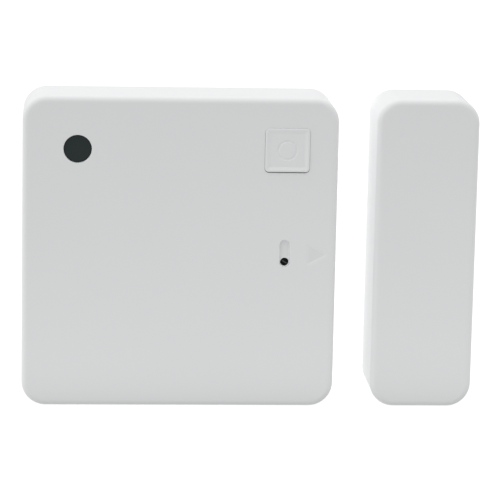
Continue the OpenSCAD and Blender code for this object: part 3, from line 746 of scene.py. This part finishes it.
def build_board_print():
    """Tracks, tinned pads and part outlines on the board's front, all in mm."""
    tracks, pads, ink = Skin(), Skin(), Skin()
    base, top = BOARD_TOP - 0.02 * MM, BOARD_TOP + 0.03 * MM

    def track(*points, width=0.24):
        rise = 1e-5 * MM * len(tracks.verts)  # no two tracks share a plane where they meet
        tracks.strip([(x * MM, z * MM) for x, z in points], width * MM, base, top + rise)

    def pad(x, z, w, h):
        pads.strip([((x - w / 2) * MM, z * MM), ((x + w / 2) * MM, z * MM)], h * MM, base, top + 0.01 * MM)

    def inked(*points):
        ink.strip([(x * MM, z * MM) for x, z in points], 0.14 * MM, base, top)

    def frame_line(x, z, w, h, gap=0.0):
        left, right, under, over = x - w / 2, x + w / 2, z - h / 2, z + h / 2
        inked((left + gap, over), (left, over), (left, under), (right, under), (right, over),
              (left + 2 * gap, over))

    for i in range(7):  # chip to radio module
        z = 3.2 + i * 0.75
        track((2.6, z), (0.6 - 0.3 * i, z), (-0.6 - 0.3 * i, z + 1.2), (-9.2, z + 1.2))
        pad(-9.9, z + 1.2, 0.9, 0.4)
    for i in range(6):  # row of resistors to the supply track
        x = -4.5 + i * 2.1
        track((x, -0.4), (x, 0.5 + 0.3 * (i % 3)))
        track((x, -2.8), (x, -3.6))
    track((-5.2, -3.6), (22.4, -3.6), (25.2, -6.4), (25.2, -13.2), width=0.6)
    for i in range(4):  # chip to the capacitors beside it
        z = 4.0 + i * 0.8
        track((11.6, z), (12.6 + 0.2 * i, z), (13.2 + 0.2 * i, z - 0.9 + 0.3 * i))
    for i, (x, z) in enumerate([(12.2, 14.8), (10.8, 16.4), (9.4, 18.0)]):  # chip to the button's switch
        start = 9.2 - 0.6 * i
        track((start, 9.8), (start, 11.0), (x, z - 1.5), (x, z), (x + 3, z + 3), (18.6, z + 3 + 0.5 * i))
    for i in range(3):  # crystal and tamper switch
        x, z, end = -6.2 + 0.7 * i, 11.6 + 0.7 * i, 20.4 + 1.4 * i
        track((2.4, z), (x + 1, z), (x, z + 1), (x, end - 0.6), (x - 0.6, end), (-7.2, end))
    for i in range(3):  # light sensor
        track((-10.6, 15.0 + i), (-16 + i, 15.0 + i), (-20 + 2 * i, 19.0))
    for i in range(2):  # indicator and reed
        track((17.4, 5.2 + i), (19.0, 5.2 + i), (21.2 + i * 1.2, 3.2 - 0.6 * i), (21.2 + i * 1.2, -0.6))
        track((26.6, (8.8, -8.4)[i]), (24.6, (7.4, -7.0)[i]), (24.6, 2.0 + i * -3.4), (23.8, 1.2 + i * -1.6))
    for x in range(-26, -9, 2):  # module's castellated edge
        for z in (-0.4, 13.6):
            pad(x, z, 1.0, 1.0)
    for i in range(6):  # both ends of the row of resistors
        for z in (-2.7, -0.5):
            pad(-4.5 + i * 2.1, z, 1.3, 0.5)
    for x, z in [(-9, 17), (-5.6, 25.2), (-2.8, 25.2), (6, 26.4), (9, 23), (6.2, 19.6), (26.4, 14.4),
                 (26.4, 17), (18.4, -1.6)]:  # test points
        pad(x, z, 1.1, 1.1)
    for side in (-3.5, 3.5):  # legs of the two switches
        for x, z in [(21.9, 21.7), (-10.5, 24.2)]:
            for up in (-1.9, 1.9):
                pad(x + side, z + up, 0.8, 1.1)
    for z in (7.34, -7.06):  # ends of the reed
        pad(26.6, z, 1.5, 1.5)
    for outline in [(7.2, 5.4, 9.2, 9.2, 0.8), (7.2, 12.6, 8.8, 4.0), (15.2, 11.6, 6.2, 6.2, 0.6),
                    (-18.4, 6.6, 18.8, 15.6), (21.9, 21.7, 8.4, 7.2), (-10.5, 24.2, 8.4, 7.2),
                    (-21.2, 21.65, 5.0, 4.2), (16.6, 6.9, 3.8, 2.3), (21.82, -1.775, 3.9, 2.3)]:
        frame_line(*outline)  # round the chip, crystal, capacitor, module, switches and smaller parts
    inked((26.0, -5.2), (24.9, -5.2), (24.9, 5.5), (26.0, 5.5))  # beside the reed
    add_piece("board_tracks", tracks, "sensor_base", [trace_green])
    add_piece("board_pads", pads, "sensor_base", [pad_metal])
    add_piece("board_outlines", ink, "sensor_base", [screen_ink])
    for name in ("board_tracks", "board_pads", "board_outlines"):
        for polygon in bpy.data.objects[name].data.polygons:
            polygon.use_smooth = False


def build_capacitor():
    """A small electrolytic can on its plastic foot, with a groove and a dark end mark."""
    low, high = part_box("smoothing_capacitor")
    at, radius, top = (low + high) / 2, 2.5 * MM, -low.y
    can = Skin()
    start, groove, dish = BOARD_TOP + 0.35 * MM, BOARD_TOP + 1.55 * MM, top - 0.1 * MM
    can.solid(circle(at, radius), [
        (-radius * 0.8, start, 0), (0, start, 0.1 * MM), (0, groove - 0.25 * MM, EDGE),
        (-0.22 * MM, groove, EDGE), (0, groove + 0.25 * MM, EDGE), (0, top, 0.35 * MM),
        (-0.5 * MM, top, 0.08 * MM), (-0.58 * MM, dish, 0.08 * MM), (-radius * 0.8, dish, 0)])
    material = two_tone("capacitor_can_end", 0, at.x + 0.9 * MM, ((0.70, 0.71, 0.72), 1),
                        ((0.03, 0.03, 0.035), 0), 0.32)
    add_piece("capacitor_can", can, "sensor_base", [material], ["smoothing_capacitor"])
    foot = Skin()
    block(foot, at.x, at.z, 5.4 * MM, 5.4 * MM, BOARD_TOP, BOARD_TOP + 0.45 * MM, 0.4 * MM)
    add_piece("capacitor_foot", foot, "sensor_base", [black_nylon])


def build_cell(name, node, button_right):
    """A round cell: a dark sleeve with a pale band at the button end, and bare metal ends."""
    low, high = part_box(node)
    middle, radius = (low + high) / 2, (high.z - low.z) / 2
    nub_high = 1.0 * MM
    can = high.x - low.x - nub_high
    start = Vector((low.x if button_right else high.x, middle.y, middle.z))
    place = toward(start, (1 if button_right else -1, 0, 0))
    shape = circle(Vector((0, 0, 0)), radius, 64)
    split, lip = 0.74 * can, 1.1 * MM
    sleeve = Skin(place)
    core = -radius * 0.9
    sleeve.solid(shape, [(core, 0.3 * MM, 0), (-lip, 0.3 * MM, 0.05 * MM), (-lip, 0, 0.1 * MM),
                         (0, 0, 0.35 * MM), (0, split, 0), (core, split, 0)])
    add_piece(name + "_sleeve", sleeve, "sensor_base", [cell_dark], [node])
    band = Skin(place)
    band.solid(shape, [(core, split, 0), (0, split, 0), (0, can, 0.45 * MM), (-lip, can, 0.1 * MM),
                       (-lip, can - 0.35 * MM, 0.05 * MM), (core, can - 0.35 * MM, 0)])
    add_piece(name + "_band", band, "sensor_base", [cell_band])
    ends = Skin(place)
    inside = -lip - 0.04 * MM
    ends.solid(shape, [(core, 0.12 * MM, 0), (inside, 0.12 * MM, 0.15 * MM), (inside, 0.28 * MM, 0),
                       (core, 0.28 * MM, 0)])
    nub, centre_gap, face = 1.9 * MM - radius, -radius * 0.95, can - 0.2 * MM
    ends.solid(shape, [
        (centre_gap, can - 0.33 * MM, 0), (inside, can - 0.33 * MM, 0), (inside, face, 0.1 * MM),
        (nub, face, 0.2 * MM), (nub, can + nub_high, 0.35 * MM), (centre_gap, can + nub_high, 0)])
    add_piece(name + "_ends", ends, "sensor_base", [cell_metal])


def build_springs():
    """The cells' two conical springs, and the tamper switch's spring, which is baked in place on no body."""
    wire = 0.3 * MM
    low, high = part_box("battery_springs")
    for which, x, way, replaced in [("upper", low.x + wire, 1, ["battery_springs"]),
                                    ("lower", high.x - wire, -1, ())]:
        cell = centre("battery_cell_" + which)
        skin = Skin(toward((x, cell.y, cell.z), (way, 0, 0)))
        skin.coil(3.5, 3.1 * MM, 2.0 * MM, 3.0 * MM, wire)
        add_piece("battery_spring_" + which, skin, "sensor_base", [spring_wire], replaced)
    low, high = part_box("tamper_spring")
    wire, length = 0.2 * MM, high.y - low.y
    skin = Skin(toward((POST.x, high.y - wire, POST.z), (0, -1, 0)))
    skin.coil(3, 1.6 * MM, 1.6 * MM, length - 2 * wire, wire)
    spring = add_piece("tamper_spring_wire", skin, None, [spring_wire], ["tamper_spring"])
    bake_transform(spring)


build_small_parts()
build_board_print()
build_capacitor()
build_cell("cell_upper", "battery_cell_upper", True)
build_cell("cell_lower", "battery_cell_lower", False)
build_springs()

# steel plates over the switches' nylon, and the module's antenna over its blue board
SWITCH_PLATE_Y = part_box("tact_switch_body")[0].y + 0.45 * MM
ANTENNA_Y = -BOARD_TOP - 0.81 * MM
switch_finish = two_tone("switch_nylon_and_plate", 1, SWITCH_PLATE_Y, ((0.72, 0.73, 0.74), 1),
                         ((0.018, 0.018, 0.02), 0), 0.34)
module_finish = two_tone("module_mask_and_antenna", 1, ANTENNA_Y, ((0.66, 0.60, 0.48), 0),
                         ((0.012, 0.036, 0.095), 0), 0.36)
# the CAD nodes that stay, with the width of their softened edges in mm
for node, width, material in [
        ("base_plate", 0.12, inner_plastic), ("magnet_base", 0.12, inner_plastic),
        ("adhesive_pad", 0.15, foam_tape), ("magnet_adhesive_pad", 0.15, foam_tape),
        ("circuit_board", 0.06, board_green), ("board_screws", 0.06, zinc),
        ("radio_module", 0.05, module_finish), ("radio_shield", 0.18, tinned), ("main_chip", 0.03, epoxy),
        ("crystal", 0.25, tinned), ("tact_switch_body", 0.05, switch_finish),
        ("tact_switch_plunger", 0.15, pale_acetal), ("tamper_switch_body", 0.05, switch_finish),
        ("tamper_switch_plunger", 0.1, red_acetal), ("reed_glass", 0.03, clear_glass()),
        ("reed_blades", 0.02, reed_metal), ("status_led", 0.05, led_epoxy), ("light_sensor", 0.06, epoxy),
        ("battery_link_plate", 0.08, contact_plate), ("battery_terminals", 0.06, contact_plate),
        ("bar_magnet", 0.2, magnet_plate)]:
    soften(node, width * MM, material)

# ---------- floor, light and camera ----------

DOME_LEVEL = 0.95
DOME_SLOPE = (-0.14, 0.09, 0.315)  # how much brighter towards +X, +Y and +Z
DOME_SIDES = 0.36  # how much darker straight ahead and straight behind than at the sides
BACK_LIGHT = (0, 0.8, -0.6)  # where the brighter patch low behind lies
BACK_LIGHT_LEVEL, BACK_LIGHT_TIGHTNESS = 0.6, 8
GAP_LIGHT_POWER, FILL_LIGHT_POWER = 0.0026, 0.0086  # watts
CAMERA_PLACE = Vector((-24.78 * MM, -FRONT - 550.0 * MM, 110.21 * MM))
CAMERA_TURN = (78.7787, -1.1758, -3.8586)  # degrees
LENS, SENSOR_WIDTH = 195.58, 36.0


def build_floor():
    """A pale floor that glows a little for the camera and gives the object no light."""
    half = 6.0
    corners = [(-half, -half, FLOOR_Z), (half, -half, FLOOR_Z), (half, half, FLOOR_Z), (-half, half, FLOOR_Z)]
    mesh = bpy.data.meshes.new("floor")
    mesh.from_pydata(corners, [], [(0, 1, 2, 3)])
    floor = bpy.data.objects.new("floor", mesh)
    bpy.context.scene.collection.objects.link(floor)
    n = Nodes("studio_floor")
    n.set(Base_Color=(0.35, 0.35, 0.35, 1), Roughness=0.9, Specular_IOR_Level=0.1,
          Emission_Color=(1, 1, 1, 1), Emission_Strength=0.8)
    mesh.materials.append(n.material)
    floor.visible_diffuse = False
    floor.visible_glossy = False


def build_light():
    """A soft studio dome: brightest above, brighter at the left than at the right, with a patch low behind.
    The camera sees it as white, or as bright as it is where that is more."""
    world = bpy.data.worlds.new("studio")
    bpy.context.scene.world = world
    world.use_nodes = True
    tree = world.node_tree

    def node(kind, *inputs, **settings):
        made = tree.nodes.new(kind)
        for key, value in settings.items():
            setattr(made, key, value)
        for socket, value in zip(made.inputs, inputs):
            if isinstance(value, bpy.types.NodeSocket):
                tree.links.new(value, socket)
            else:
                socket.default_value = value
        return made

    def calculate(operation, a, b):
        return node("ShaderNodeMath", a, b, operation=operation).outputs[0]

    direction = tree.nodes.new("ShaderNodeTexCoord").outputs["Generated"]

    def along(axis):
        return node("ShaderNodeVectorMath", direction, axis, operation="DOT_PRODUCT").outputs["Value"]

    level = calculate("ADD", along(DOME_SLOPE), DOME_LEVEL)
    sides = calculate("MULTIPLY", calculate("POWER", along((0, 1, 0)), 2), -DOME_SIDES)
    back = calculate("POWER", calculate("MAXIMUM", along(BACK_LIGHT), 0), BACK_LIGHT_TIGHTNESS)
    back = calculate("MULTIPLY", back, BACK_LIGHT_LEVEL)
    level = calculate("ADD", level, calculate("ADD", sides, back))
    level = calculate("MAXIMUM", level, tree.nodes.new("ShaderNodeLightPath").outputs["Is Camera Ray"])
    background = tree.nodes["Background"]
    background.inputs["Color"].default_value = (1, 1, 1, 1)
    tree.links.new(level, background.inputs["Strength"])


def build_lamp(name, size, power, place, tilt):
    """A rectangular area light that the camera doesn't see, tilted about X in degrees."""
    data = bpy.data.lights.new(name, "AREA")
    data.shape, data.size, data.size_y = "RECTANGLE", *size
    data.energy = power
    lamp = bpy.data.objects.new(name, data)
    bpy.context.scene.collection.objects.link(lamp)
    lamp.location = place
    lamp.rotation_euler = (math.radians(tilt), 0, 0)
    lamp.visible_camera = False
    return lamp


def build_lamps():
    """A tall strip behind the gap, as from the pale backdrop there, and a glow from the floor just before the
    fronts, as from a white table, which lifts their lower half."""
    gap_x = (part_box("front_cover")[1].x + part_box("magnet_cover")[0].x) / 2
    build_lamp("gap_light", (14 * MM, 76 * MM), GAP_LIGHT_POWER, (gap_x, 8 * MM, -5 * MM), -90)
    fill = build_lamp("fill_light", (190 * MM, 60 * MM), FILL_LIGHT_POWER,
                      (24 * MM, -FRONT - 35 * MM, FLOOR_Z + 0.2 * MM), 180)
    fill.visible_glossy = False


def build_camera():
    """The photograph's view: from slightly above and to the left, through a long lens."""
    data = bpy.data.cameras.new("camera")
    data.lens, data.sensor_width = LENS, SENSOR_WIDTH
    data.clip_start, data.clip_end = 0.01, 50
    camera = bpy.data.objects.new("camera", data)
    bpy.context.scene.collection.objects.link(camera)
    camera.location = CAMERA_PLACE
    camera.rotation_euler = [math.radians(angle) for angle in CAMERA_TURN]
    bpy.context.scene.camera = camera


build_floor()
build_light()
build_lamps()
build_camera()
bpy.context.scene.view_settings.view_transform = "Standard"
